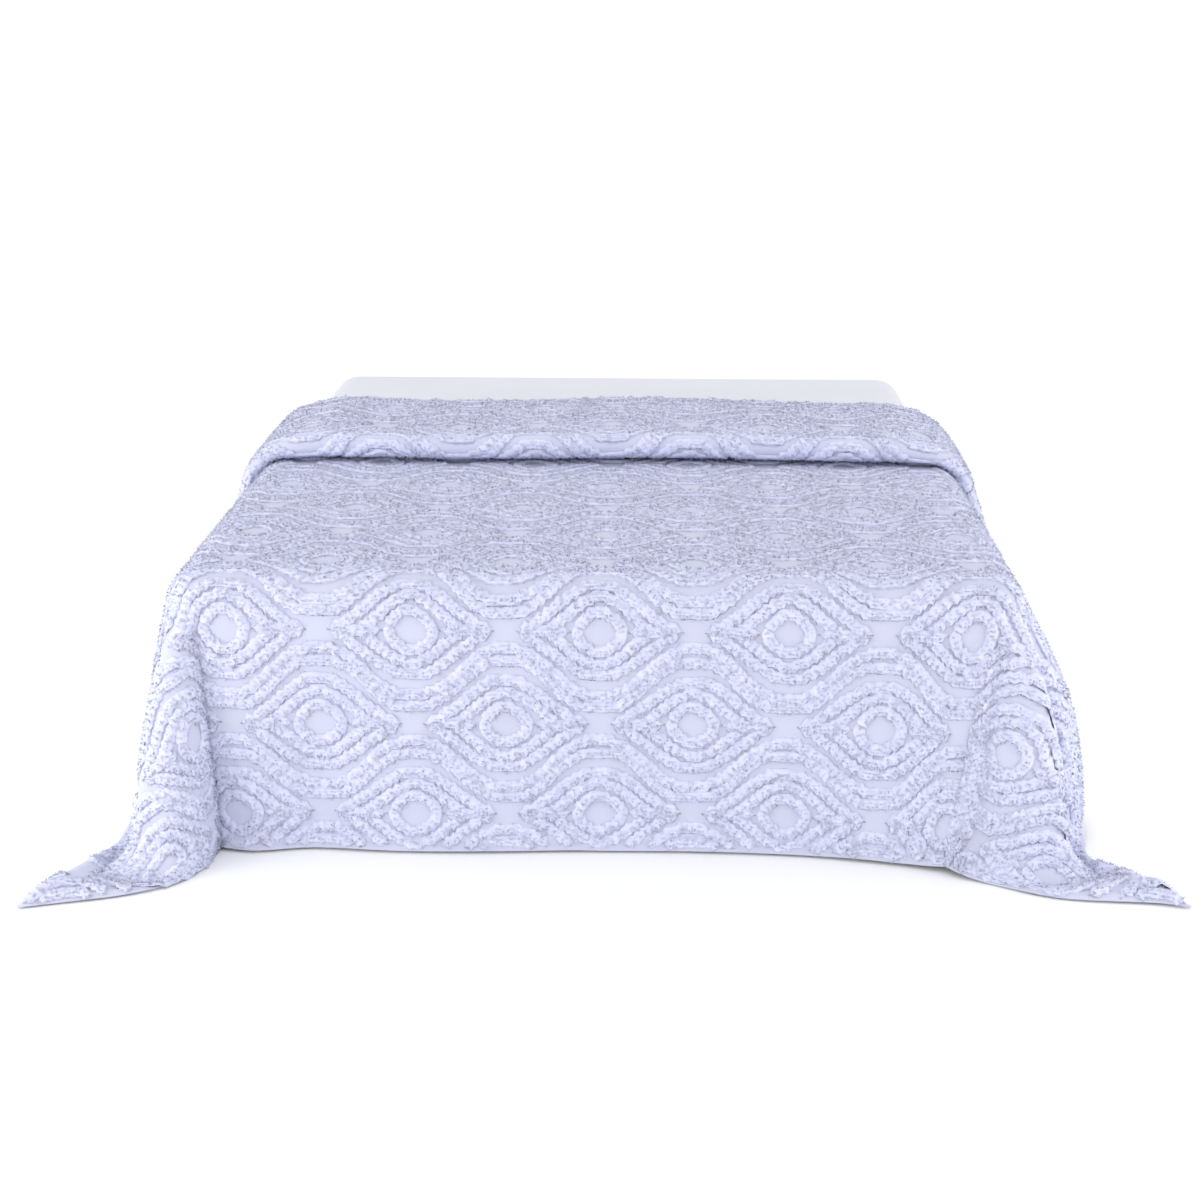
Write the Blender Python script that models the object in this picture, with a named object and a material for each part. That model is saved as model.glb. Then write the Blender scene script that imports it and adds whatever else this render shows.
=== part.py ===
"""A tufted bedspread draped over a plain bed, in metres, +Z up.

The origin is the middle of the bed base's underside, on the floor. The foot of the bed faces -Y
and its head +Y. The bedspread is one sheet: it lies on the mattress, falls to the floor at the
foot and both sides, gathers into a cone with a trailing tail at each foot corner, and is laid in
one back-and-forth fold across the bed towards its head.
"""

import math

import bmesh
import bpy
import numpy as np

# The bed, which the spread is cut to
MATTRESS_WIDTH = 1.60
MATTRESS_LENGTH = 1.90
MATTRESS_TOP = 0.533
MATTRESS_DEPTH = 0.24
MATTRESS_EDGE_RADIUS = 0.065
BASE_INSET = 0.01
BASE_EDGE_RADIUS = 0.02
SEAT_GAP = 0.0003

# The bedspread's cut size and how it lies on the mattress
SPREAD_WIDTH = 2.65
SPREAD_LENGTH = 2.60
SPREAD_THICKNESS = 0.003
SIDE_STANDOFF = 0.010
FOOT_STANDOFF = 0.003
DRAPE_RADIUS = 0.065
FLOOR_BEND = 0.045
TAIL_BEND = 0.085
TAIL_RISE = 0.16
FLOOR_CLEARANCE = 0.0003

# The back-and-forth fold: its lip, measured from the foot face, and the radii of its two turns.
# It presses flatter down the sides, from SIDE_EASE in from where the cloth starts to bend.
LIP_FROM_FOOT = 0.873
BACK_TURN_RADIUS = 0.0120
LIP_TURN_RADIUS = 0.0220
TOP_LAYER_OVERHANG = 0.012
TOP_LAYER_PUFF = 0.006
SIDE_PRESS = 0.50
SIDE_EASE = 0.11
LIP_WANDER = 0.005
LIP_WAVES = 5.5
LIFT_WANDER = 0.06
LIFT_WAVES = 7.0

# The spread's middle surface: its top, its outer faces and the lines where it starts to bend
TOP = MATTRESS_TOP + SEAT_GAP + SPREAD_THICKNESS / 2
FLOOR = FLOOR_CLEARANCE + SPREAD_THICKNESS / 2
HALF_WIDTH = MATTRESS_WIDTH / 2 + SIDE_STANDOFF + SPREAD_THICKNESS / 2
FOOT_FACE = MATTRESS_LENGTH / 2 + FOOT_STANDOFF + SPREAD_THICKNESS / 2
BEND_X = HALF_WIDTH - DRAPE_RADIUS
BEND_Y = FOOT_FACE - DRAPE_RADIUS
DROP = SPREAD_WIDTH / 2 - BEND_X
HANG = TOP - FLOOR

# Perimeter position of a fall line: negative back along the side, 0 to FAN round the corner,
# and past FAN along the foot towards the middle. The foot's hang blends from the left falls to the
# right ones over SIDES_BLEND, and is free of any lean to the side OUT_FADE in from the corners.
FAN = 0.60
SIDES_BLEND = 0.40
OUT_FADE = 0.30

# How the falls stand out from the bed, from the side, round the corner and along the foot.
# perimeter: where the fall starts. out, forward: how far from the bed it reaches the floor, to
# the side and to the foot. heading: the way its spare cloth lies, in degrees from straight out
# to the side to straight forward. puff: how far it bows out halfway down.
FALL_COLUMNS = ("perimeter", "out", "forward", "heading", "puff")
RIGHT_FALLS = (
    (-1.70, 0.03, 0.00, 0, 0.010),
    (-1.30, 0.05, 0.00, 0, 0.010),
    (-1.05, 0.03, 0.00, 0, 0.010),
    (-0.80, 0.09, 0.00, 0, 0.020),
    (-0.60, 0.055, 0.00, 0, 0.015),
    (-0.42, 0.115, 0.00, 0, 0.030),
    (-0.26, 0.085, 0.00, 0, 0.020),
    (-0.12, 0.135, -0.02, 0, 0.030),
    (0.00, 0.155, -0.02, 5, 0.035),
    (0.10, 0.12, 0.02, 14, 0.030),
    (0.19, 0.065, 0.035, 28, 0.010),
    (0.26, 0.10, 0.075, 36, 0.020),
    (0.32, 0.115, 0.10, 42, 0.025),
    (0.40, 0.03, 0.12, 56, 0.010),
    (0.47, -0.03, 0.10, 68, 0.000),
    (0.54, -0.06, 0.10, 80, 0.005),
    (0.62, -0.065, 0.085, 88, 0.010),
    (0.76, -0.02, 0.055, 90, 0.005),
    (0.92, 0.00, 0.025, 90, 0.003),
    (1.15, 0.00, 0.012, 90, 0.000),
    (1.50, 0.00, 0.018, 90, 0.000),
)
LEFT_FALLS = (
    (-1.70, 0.03, 0.00, 0, 0.010),
    (-1.20, 0.07, 0.00, 0, 0.020),
    (-0.95, 0.03, 0.00, 0, 0.010),
    (-0.78, 0.08, 0.00, 0, 0.025),
    (-0.60, 0.04, 0.00, 0, 0.015),
    (-0.46, 0.09, 0.00, 0, 0.015),
    (-0.30, 0.05, 0.00, 0, 0.008),
    (-0.16, 0.08, -0.01, 0, 0.005),
    (-0.04, 0.095, -0.02, 5, 0.006),
    (0.08, 0.085, 0.03, 14, 0.008),
    (0.15, 0.06, 0.06, 22, 0.010),
    (0.22, 0.06, 0.085, 34, 0.010),
    (0.30, 0.085, 0.14, 47, 0.015),
    (0.38, 0.020, 0.165, 52, 0.010),
    (0.43, -0.012, 0.150, 60, 0.000),
    (0.48, -0.028, 0.10, 72, 0.000),
    (0.56, -0.022, 0.035, 84, 0.003),
    (0.68, -0.015, 0.042, 90, 0.006),
    (0.80, 0.00, 0.02, 90, 0.004),
    (0.94, 0.00, 0.03, 90, 0.004),
    (1.40, 0.00, 0.014, 90, 0.000),
)

# Steps of the sheet's grid over each stretch of the cloth
BEND_STEPS = 4
FALL_STEPS = 15
TOP_ACROSS_STEPS = 10
TOP_ALONG_STEPS = 9
LAYER_STEPS = 4
TURN_STEPS = 4


def unit(vectors):
    """The vectors, one a row, at length 1."""
    return vectors / np.linalg.norm(vectors, axis=-1, keepdims=True)


def smooth_column(table, name, at):
    """A column of a falls table, read at perimeter positions through a smooth curve."""
    rows = np.array(table, float)
    key = rows[:, 0]
    value = rows[:, FALL_COLUMNS.index(name)]
    slope = np.gradient(value, key)
    at = np.clip(at, key[0], key[-1])
    i = np.clip(np.searchsorted(key, at) - 1, 0, len(key) - 2)
    step = key[i + 1] - key[i]
    t = (at - key[i]) / step
    rise = (3 - 2 * t) * t * t
    start = t * (1 - t) ** 2 * slope[i] * step
    end = -t * t * (1 - t) * slope[i + 1] * step
    return value[i] * (1 - rise) + value[i + 1] * rise + start + end


def arc_point(start_way, end_way, radius, along):
    """How far a bend of this radius has gone after this length, and the angle of the whole bend."""
    cosine = np.clip((start_way * end_way).sum(-1), -1, 1)
    whole = np.arccos(cosine)
    side_way = unit(end_way - start_way * cosine[:, None])
    turned = along / radius
    moved = np.sin(turned)[:, None] * start_way + (1 - np.cos(turned))[:, None] * side_way
    return radius[:, None] * moved, whole


def fall_point(start, out_way, reach, floor_way, floor_radius, puff, hem, along):
    """A point this far along a fall line: over the edge, down, then along the floor."""
    drop_way = unit(np.column_stack([reach, np.full(len(reach), -(HANG - DRAPE_RADIUS))]))
    edge_radius = np.full(len(along), DRAPE_RADIUS)
    edge_angle = np.arccos(np.clip((out_way * drop_way).sum(-1), -1, 1))
    floor_angle = np.arccos(np.clip((drop_way * floor_way).sum(-1), -1, 1))
    edge_cut = edge_radius * np.tan(edge_angle / 2)
    floor_cut = floor_radius * np.tan(floor_angle / 2)
    straight = HANG / -drop_way[:, 2]
    edge_end = edge_radius * edge_angle
    bend_start = edge_end + straight - edge_cut - floor_cut
    bend_end = bend_start + floor_radius * floor_angle
    corner = start + out_way * edge_cut[:, None]
    landing = corner + drop_way * straight[:, None]
    over_edge, _ = arc_point(out_way, drop_way, edge_radius, along)
    over_floor, _ = arc_point(drop_way, floor_way, floor_radius, along - bend_start)
    hanging = corner + drop_way * (edge_cut + along - edge_end)[:, None]
    bending = landing - drop_way * floor_cut[:, None] + over_floor
    lying = landing + floor_way * (floor_cut + along - bend_end)[:, None]
    spare = np.maximum(hem - bend_end, 1e-6)
    lying[:, 2] += TAIL_RISE * spare * np.sin(math.pi * np.clip((along - bend_end) / spare, 0, 1))
    down = np.clip((along - edge_end) / (bend_start - edge_end), 0, 1)
    bow = (puff * np.sin(math.pi * down))[:, None] * out_way
    stretch = (along > edge_end) * 1 + (along > bend_start) + (along > bend_end)
    return np.choose(stretch[:, None], [start + over_edge, hanging + bow, bending, lying])


def lay(across, along):
    """Points of the spread before it is folded back: across from its middle, along from its foot hem."""
    side = np.where(across < 0, -1.0, 1.0)
    past_side = np.maximum(np.abs(across) - BEND_X, 0)
    past_foot = np.maximum(DROP - along, 0)
    fallen = np.hypot(past_side, past_foot)
    turn = np.arctan2(past_foot, np.maximum(past_side, 1e-9))
    turn = np.where(past_foot > 0, turn, 0)
    back = np.maximum(along - DROP, 0)
    inward = np.maximum(BEND_X - np.abs(across), 0)
    perimeter = FAN * turn / (math.pi / 2) - back + np.where(past_foot > 0, inward, 0)

    def column(name):
        left = smooth_column(LEFT_FALLS, name, perimeter)
        right = smooth_column(RIGHT_FALLS, name, perimeter)
        if name == "out":
            middle = np.minimum(1, inward / OUT_FADE)
            return np.where(across < 0, left, right) * (1 - middle)
        middle = np.clip(0.5 + across / SIDES_BLEND, 0, 1)
        middle = middle * middle * (3 - 2 * middle)
        return left * (1 - middle) + right * middle

    heading = np.radians(column("heading"))
    reach = np.column_stack([side * column("out"), -column("forward")])
    flat = np.zeros(len(across))
    out_way = np.column_stack([side * np.cos(turn), -np.sin(turn), flat])
    floor_way = np.column_stack([side * np.cos(heading), -np.sin(heading), flat])
    start = np.column_stack(
        [
            side * np.minimum(np.abs(across), BEND_X),
            -BEND_Y + np.maximum(along - DROP, 0),
            np.full(len(across), TOP),
        ]
    )
    corner = np.sin(2 * turn)
    floor_radius = FLOOR_BEND + (TAIL_BEND - FLOOR_BEND) * corner
    hem = DROP / np.maximum(np.cos(turn), np.sin(turn))
    point = fall_point(start, out_way, reach, floor_way, floor_radius, column("puff"), hem, fallen)
    return np.where((fallen > 0)[:, None], point, start)


def fold_back(along):
    """Where a point this far from the foot hem lies once the spread is folded: along the bed, and above it."""
    lip = DROP + LIP_FROM_FOOT - DRAPE_RADIUS
    turns = math.pi * (BACK_TURN_RADIUS + LIP_TURN_RADIUS)
    back = (SPREAD_LENGTH - turns + 2 * lip - TOP_LAYER_OVERHANG) / 3
    back_end = back + math.pi * BACK_TURN_RADIUS
    lip_start = back_end + back - lip
    lip_end = lip_start + math.pi * LIP_TURN_RADIUS
    middle = 2 * BACK_TURN_RADIUS
    top = middle + 2 * LIP_TURN_RADIUS
    back_turn = (along - back) / BACK_TURN_RADIUS
    lip_turn = (along - lip_start) / LIP_TURN_RADIUS
    stretch = (along > back) * 1 + (along > back_end) + (along > lip_start) + (along > lip_end)
    on_top = np.clip((along - lip_end) / (SPREAD_LENGTH - lip_end), 0, 1)
    bed = np.choose(
        stretch,
        [
            along,
            back + BACK_TURN_RADIUS * np.sin(back_turn),
            back - (along - back_end),
            lip - LIP_TURN_RADIUS * np.sin(lip_turn),
            lip + (along - lip_end),
        ],
    )
    lift = np.choose(
        stretch,
        [
            np.zeros(len(along)),
            BACK_TURN_RADIUS * (1 - np.cos(back_turn)),
            np.full(len(along), middle),
            middle + LIP_TURN_RADIUS * (1 - np.cos(lip_turn)),
            top + TOP_LAYER_PUFF * np.sin(math.pi * on_top),
        ],
    )
    return bed, lift, (back, back_end, lip_start, lip_end)


def drape(across, along):
    """Points of the folded and draped spread for flat positions on the cloth."""
    bed, lift, _ = fold_back(along)
    bed = bed + LIP_WANDER * np.sin(across * LIP_WAVES + 0.6) * np.clip(lift / (2 * BACK_TURN_RADIUS), 0, 1)
    lift = lift * (1 + LIFT_WANDER * np.sin(across * LIFT_WAVES + 1.0))
    past = np.abs(across) - BEND_X
    hung = np.clip((past + SIDE_EASE) / (DRAPE_RADIUS * math.pi / 2 + SIDE_EASE), 0, 1)
    lift = lift * (1 - SIDE_PRESS * hung * hung * (3 - 2 * hung))
    outer = DRAPE_RADIUS + lift
    slid = np.where(past < outer * math.pi / 2, past * DRAPE_RADIUS / outer, past - lift * math.pi / 2)
    across = np.sign(across) * (BEND_X + np.where(past > 0, slid, past))
    near = 0.0005
    base = lay(across, bed)
    width_way = lay(across + near, bed) - lay(across - near, bed)
    length_way = lay(across, bed + near) - lay(across, bed - near)
    return base + unit(np.cross(width_way, length_way)) * lift[:, None]


def stations(marks, steps):
    """Grid lines from mark to mark, with that many even steps between each pair."""
    lines = [marks[0]]
    for begin, end, count in zip(marks, marks[1:], steps):
        lines += [begin + (end - begin) * (i + 1) / count for i in range(count)]
    return np.array(lines)


def material(name, colour, roughness):
    made = bpy.data.materials.new(name)
    made.use_nodes = True
    shader = made.node_tree.nodes["Principled BSDF"]
    shader.inputs["Base Color"].default_value = (*colour, 1)
    shader.inputs["Roughness"].default_value = roughness
    shader.inputs["Metallic"].default_value = 0
    return made


def add_object(name, form, finish):
    """Turns a bmesh into a named, smooth-shaded object."""
    mesh = bpy.data.meshes.new(name)
    form.to_mesh(mesh)
    form.free()
    mesh.shade_smooth()
    mesh.set_sharp_from_angle(angle=math.radians(40))
    made = bpy.data.objects.new(name, mesh)
    made.data.materials.append(finish)
    bpy.context.scene.collection.objects.link(made)
    return made


def rounded_box(name, width, length, bottom, top, radius, segments, finish):
    """A box centred on the origin in plan, with rounded edges."""
    form = bmesh.new()
    bmesh.ops.create_cube(form, size=1)
    bmesh.ops.scale(form, vec=(width, length, top - bottom), verts=form.verts)
    bmesh.ops.translate(form, vec=(0, 0, (top + bottom) / 2), verts=form.verts)
    bmesh.ops.bevel(
        form,
        geom=form.edges[:],
        offset=radius,
        segments=segments,
        profile=0.5,
        affect="EDGES",
        material=-1,
    )
    return add_object(name, form, finish)


def bedspread(finish):
    """The spread: a grid of the flat cloth, bent into its folds and given its thickness."""
    half = SPREAD_WIDTH / 2
    bend = DRAPE_RADIUS * math.pi / 2
    _, _, (back, back_end, lip_start, lip_end) = fold_back(np.zeros(1))
    across = stations(
        [-half, -BEND_X - bend, -BEND_X, BEND_X, BEND_X + bend, half],
        [FALL_STEPS, BEND_STEPS, TOP_ACROSS_STEPS, BEND_STEPS, FALL_STEPS],
    )
    lip = DROP + LIP_FROM_FOOT - DRAPE_RADIUS
    along = stations(
        [0, DROP - bend, DROP, lip, back, back_end, lip_start, lip_end, SPREAD_LENGTH],
        [
            FALL_STEPS,
            BEND_STEPS,
            TOP_ALONG_STEPS,
            LAYER_STEPS,
            TURN_STEPS,
            LAYER_STEPS,
            TURN_STEPS,
            LAYER_STEPS,
        ],
    )
    form = bmesh.new()
    bmesh.ops.create_grid(form, x_segments=len(across) - 1, y_segments=len(along) - 1, size=1)
    form.verts.ensure_lookup_table()
    place = np.array([vertex.co[:2] for vertex in form.verts])
    column = np.rint((place[:, 0] + 1) / 2 * (len(across) - 1)).astype(int)
    row = np.rint((place[:, 1] + 1) / 2 * (len(along) - 1)).astype(int)
    points = drape(across[column], along[row])
    for vertex, point in zip(form.verts, points):
        vertex.co = point
    made = add_object("bedspread", form, finish)
    thick = made.modifiers.new("thickness", "SOLIDIFY")
    thick.thickness = SPREAD_THICKNESS
    thick.offset = 0
    return made


def main():
    for old in list(bpy.data.objects):
        bpy.data.objects.remove(old)
    cotton = material("white_tufted_cotton", (0.86, 0.87, 0.95), 0.95)
    ticking = material("white_sheet", (0.84, 0.84, 0.87), 0.85)
    cover = material("grey_base_cover", (0.62, 0.62, 0.65), 0.9)
    mattress_bottom = MATTRESS_TOP - MATTRESS_DEPTH
    rounded_box(
        "mattress",
        MATTRESS_WIDTH,
        MATTRESS_LENGTH,
        mattress_bottom,
        MATTRESS_TOP,
        MATTRESS_EDGE_RADIUS,
        4,
        ticking,
    )
    rounded_box(
        "bed_base",
        MATTRESS_WIDTH - 2 * BASE_INSET,
        MATTRESS_LENGTH - 2 * BASE_INSET,
        0,
        mattress_bottom - SEAT_GAP,
        BASE_EDGE_RADIUS,
        2,
        cover,
    )
    bedspread(cotton)


main()
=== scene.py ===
"""A white tufted bedspread over a plain bed, laid out as a Blender add-on and run as a script.

The spread is one sheet of cotton, draped by the same measures as the part's source, with rows of
cut pile worked through it in nested pointed ovals and wavy lines between them.
"""

import math

import bmesh
import bpy
import numpy as np
from bpy.props import FloatProperty, FloatVectorProperty, IntProperty, PointerProperty
from bpy.types import Operator, Panel, PropertyGroup
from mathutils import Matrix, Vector


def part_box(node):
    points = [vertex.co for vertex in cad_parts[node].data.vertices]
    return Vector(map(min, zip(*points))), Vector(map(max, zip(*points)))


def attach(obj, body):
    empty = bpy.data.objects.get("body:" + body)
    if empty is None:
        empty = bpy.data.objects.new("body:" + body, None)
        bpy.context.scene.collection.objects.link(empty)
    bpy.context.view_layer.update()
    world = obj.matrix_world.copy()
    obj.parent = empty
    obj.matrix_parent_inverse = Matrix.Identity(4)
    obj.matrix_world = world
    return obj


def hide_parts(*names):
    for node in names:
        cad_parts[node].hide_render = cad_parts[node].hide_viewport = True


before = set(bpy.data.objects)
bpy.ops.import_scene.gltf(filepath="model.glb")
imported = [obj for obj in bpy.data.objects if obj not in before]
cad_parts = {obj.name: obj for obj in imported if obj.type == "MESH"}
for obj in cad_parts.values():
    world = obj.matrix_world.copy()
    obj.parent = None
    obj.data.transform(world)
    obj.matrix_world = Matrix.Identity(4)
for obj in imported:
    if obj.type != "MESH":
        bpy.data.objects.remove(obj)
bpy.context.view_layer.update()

bl_info = {
    "name": "Tufted bedspread",
    "version": (1, 0, 0),
    "blender": (4, 5, 0),
    "location": "View3D > Sidebar > Bedspread",
    "description": "Builds a tufted cotton bedspread draped over a plain bed",
    "category": "Object",
}

# The bed, which the spread is cut to
MATTRESS_WIDTH = 1.60
MATTRESS_LENGTH = 1.90
MATTRESS_TOP = 0.533
MATTRESS_EDGE_RADIUS = 0.065
BASE_EDGE_RADIUS = 0.02
SEAT_GAP = 0.0003

# The bedspread's cut size and how it lies on the mattress
SPREAD_WIDTH = 2.65
SPREAD_LENGTH = 2.60
SPREAD_THICKNESS = 0.003
SIDE_STANDOFF = 0.010
FOOT_STANDOFF = 0.003
DRAPE_RADIUS = 0.065
FLOOR_BEND = 0.045
TAIL_BEND = 0.085
TAIL_RISE = 0.16
FLOOR_CLEARANCE = 0.0003

# The back-and-forth fold: its lip, measured from the foot face, and the radii of its two turns.
# It presses flatter down the sides, from SIDE_EASE in from where the cloth starts to bend.
LIP_FROM_FOOT = 0.873
BACK_TURN_RADIUS = 0.0120
LIP_TURN_RADIUS = 0.0220
TOP_LAYER_OVERHANG = 0.012
TOP_LAYER_PUFF = 0.006
SIDE_PRESS = 0.50
SIDE_EASE = 0.11
LIP_WANDER = 0.005
LIP_WAVES = 5.5
LIFT_WANDER = 0.06
LIFT_WAVES = 7.0

# The spread's middle surface: its top, its outer faces and the lines where it starts to bend
TOP = MATTRESS_TOP + SEAT_GAP + SPREAD_THICKNESS / 2
FLOOR = FLOOR_CLEARANCE + SPREAD_THICKNESS / 2
HALF_WIDTH = MATTRESS_WIDTH / 2 + SIDE_STANDOFF + SPREAD_THICKNESS / 2
FOOT_FACE = MATTRESS_LENGTH / 2 + FOOT_STANDOFF + SPREAD_THICKNESS / 2
BEND_X = HALF_WIDTH - DRAPE_RADIUS
BEND_Y = FOOT_FACE - DRAPE_RADIUS
DROP = SPREAD_WIDTH / 2 - BEND_X
HANG = TOP - FLOOR

# Perimeter position of a fall line: negative back along the side, 0 to FAN round the corner,
# and past FAN along the foot towards the middle. The foot's hang blends from the left falls to the
# right ones over SIDES_BLEND, and is free of any lean to the side OUT_FADE in from the corners.
FAN = 0.60
SIDES_BLEND = 0.40
OUT_FADE = 0.30

# How the falls stand out from the bed, from the side, round the corner and along the foot.
# perimeter: where the fall starts. out, forward: how far from the bed it reaches the floor, to
# the side and to the foot. heading: the way its spare cloth lies, in degrees from straight out
# to the side to straight forward. puff: how far it bows out halfway down.
FALL_COLUMNS = ("perimeter", "out", "forward", "heading", "puff")
RIGHT_FALLS = (
    (-1.70, 0.03, 0.00, 0, 0.010),
    (-1.30, 0.05, 0.00, 0, 0.010),
    (-1.05, 0.03, 0.00, 0, 0.010),
    (-0.80, 0.09, 0.00, 0, 0.020),
    (-0.60, 0.055, 0.00, 0, 0.015),
    (-0.42, 0.115, 0.00, 0, 0.030),
    (-0.26, 0.085, 0.00, 0, 0.020),
    (-0.12, 0.135, -0.02, 0, 0.030),
    (0.00, 0.155, -0.02, 5, 0.035),
    (0.10, 0.12, 0.02, 14, 0.030),
    (0.19, 0.065, 0.035, 28, 0.010),
    (0.26, 0.10, 0.075, 36, 0.020),
    (0.32, 0.115, 0.10, 42, 0.025),
    (0.40, 0.03, 0.12, 56, 0.010),
    (0.47, -0.03, 0.10, 68, 0.000),
    (0.54, -0.06, 0.10, 80, 0.005),
    (0.62, -0.065, 0.085, 88, 0.010),
    (0.76, -0.02, 0.055, 90, 0.005),
    (0.92, 0.00, 0.025, 90, 0.003),
    (1.15, 0.00, 0.012, 90, 0.000),
    (1.50, 0.00, 0.018, 90, 0.000),
)
LEFT_FALLS = (
    (-1.70, 0.03, 0.00, 0, 0.010),
    (-1.20, 0.07, 0.00, 0, 0.020),
    (-0.95, 0.03, 0.00, 0, 0.010),
    (-0.78, 0.08, 0.00, 0, 0.025),
    (-0.60, 0.04, 0.00, 0, 0.015),
    (-0.46, 0.09, 0.00, 0, 0.015),
    (-0.30, 0.05, 0.00, 0, 0.008),
    (-0.16, 0.08, -0.01, 0, 0.005),
    (-0.04, 0.095, -0.02, 5, 0.006),
    (0.08, 0.085, 0.03, 14, 0.008),
    (0.15, 0.06, 0.06, 22, 0.010),
    (0.22, 0.06, 0.085, 34, 0.010),
    (0.30, 0.085, 0.14, 47, 0.015),
    (0.38, 0.020, 0.165, 52, 0.010),
    (0.43, -0.012, 0.150, 60, 0.000),
    (0.48, -0.028, 0.10, 72, 0.000),
    (0.56, -0.022, 0.035, 84, 0.003),
    (0.68, -0.015, 0.042, 90, 0.006),
    (0.80, 0.00, 0.02, 90, 0.004),
    (0.94, 0.00, 0.03, 90, 0.004),
    (1.40, 0.00, 0.014, 90, 0.000),
)


def unit(vectors):
    """The vectors, one a row, at length 1."""
    return vectors / np.linalg.norm(vectors, axis=-1, keepdims=True)


def smooth_column(table, name, at):
    """A column of a falls table, read at perimeter positions through a smooth curve."""
    rows = np.array(table, float)
    key = rows[:, 0]
    value = rows[:, FALL_COLUMNS.index(name)]
    slope = np.gradient(value, key)
    at = np.clip(at, key[0], key[-1])
    i = np.clip(np.searchsorted(key, at) - 1, 0, len(key) - 2)
    step = key[i + 1] - key[i]
    t = (at - key[i]) / step
    rise = (3 - 2 * t) * t * t
    start = t * (1 - t) ** 2 * slope[i] * step
    end = -t * t * (1 - t) * slope[i + 1] * step
    return value[i] * (1 - rise) + value[i + 1] * rise + start + end


def arc_point(start_way, end_way, radius, along):
    """How far a bend of this radius has gone after this length, and the angle of the whole bend."""
    cosine = np.clip((start_way * end_way).sum(-1), -1, 1)
    whole = np.arccos(cosine)
    side_way = unit(end_way - start_way * cosine[:, None])
    turned = along / radius
    moved = np.sin(turned)[:, None] * start_way + (1 - np.cos(turned))[:, None] * side_way
    return radius[:, None] * moved, whole


def fall_point(start, out_way, reach, floor_way, floor_radius, puff, hem, along):
    """A point this far along a fall line: over the edge, down, then along the floor."""
    drop_way = unit(np.column_stack([reach, np.full(len(reach), -(HANG - DRAPE_RADIUS))]))
    edge_radius = np.full(len(along), DRAPE_RADIUS)
    edge_angle = np.arccos(np.clip((out_way * drop_way).sum(-1), -1, 1))
    floor_angle = np.arccos(np.clip((drop_way * floor_way).sum(-1), -1, 1))
    edge_cut = edge_radius * np.tan(edge_angle / 2)
    floor_cut = floor_radius * np.tan(floor_angle / 2)
    straight = HANG / -drop_way[:, 2]
    edge_end = edge_radius * edge_angle
    bend_start = edge_end + straight - edge_cut - floor_cut
    bend_end = bend_start + floor_radius * floor_angle
    corner = start + out_way * edge_cut[:, None]
    landing = corner + drop_way * straight[:, None]
    over_edge, _ = arc_point(out_way, drop_way, edge_radius, along)
    over_floor, _ = arc_point(drop_way, floor_way, floor_radius, along - bend_start)
    hanging = corner + drop_way * (edge_cut + along - edge_end)[:, None]
    bending = landing - drop_way * floor_cut[:, None] + over_floor
    lying = landing + floor_way * (floor_cut + along - bend_end)[:, None]
    spare = np.maximum(hem - bend_end, 1e-6)
    lying[:, 2] += TAIL_RISE * spare * np.sin(math.pi * np.clip((along - bend_end) / spare, 0, 1))
    down = np.clip((along - edge_end) / (bend_start - edge_end), 0, 1)
    bow = (puff * np.sin(math.pi * down))[:, None] * out_way
    stretch = (along > edge_end) * 1 + (along > bend_start) + (along > bend_end)
    return np.choose(stretch[:, None], [start + over_edge, hanging + bow, bending, lying])


def lay(across, along):
    """Points of the spread before its fold: across from its middle, along from its foot hem."""
    side = np.where(across < 0, -1.0, 1.0)
    past_side = np.maximum(np.abs(across) - BEND_X, 0)
    past_foot = np.maximum(DROP - along, 0)
    fallen = np.hypot(past_side, past_foot)
    turn = np.arctan2(past_foot, np.maximum(past_side, 1e-9))
    turn = np.where(past_foot > 0, turn, 0)
    back = np.maximum(along - DROP, 0)
    inward = np.maximum(BEND_X - np.abs(across), 0)
    perimeter = FAN * turn / (math.pi / 2) - back + np.where(past_foot > 0, inward, 0)

    def column(name):
        left = smooth_column(LEFT_FALLS, name, perimeter)
        right = smooth_column(RIGHT_FALLS, name, perimeter)
        if name == "out":
            middle = np.minimum(1, inward / OUT_FADE)
            return np.where(across < 0, left, right) * (1 - middle)
        middle = np.clip(0.5 + across / SIDES_BLEND, 0, 1)
        middle = middle * middle * (3 - 2 * middle)
        return left * (1 - middle) + right * middle

    heading = np.radians(column("heading"))
    reach = np.column_stack([side * column("out"), -column("forward")])
    flat = np.zeros(len(across))
    out_way = np.column_stack([side * np.cos(turn), -np.sin(turn), flat])
    floor_way = np.column_stack([side * np.cos(heading), -np.sin(heading), flat])
    start = np.column_stack(
        [
            side * np.minimum(np.abs(across), BEND_X),
            -BEND_Y + np.maximum(along - DROP, 0),
            np.full(len(across), TOP),
        ]
    )
    corner = np.sin(2 * turn)
    floor_radius = FLOOR_BEND + (TAIL_BEND - FLOOR_BEND) * corner
    hem = DROP / np.maximum(np.cos(turn), np.sin(turn))
    point = fall_point(start, out_way, reach, floor_way, floor_radius, column("puff"), hem, fallen)
    return np.where((fallen > 0)[:, None], point, start)


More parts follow.
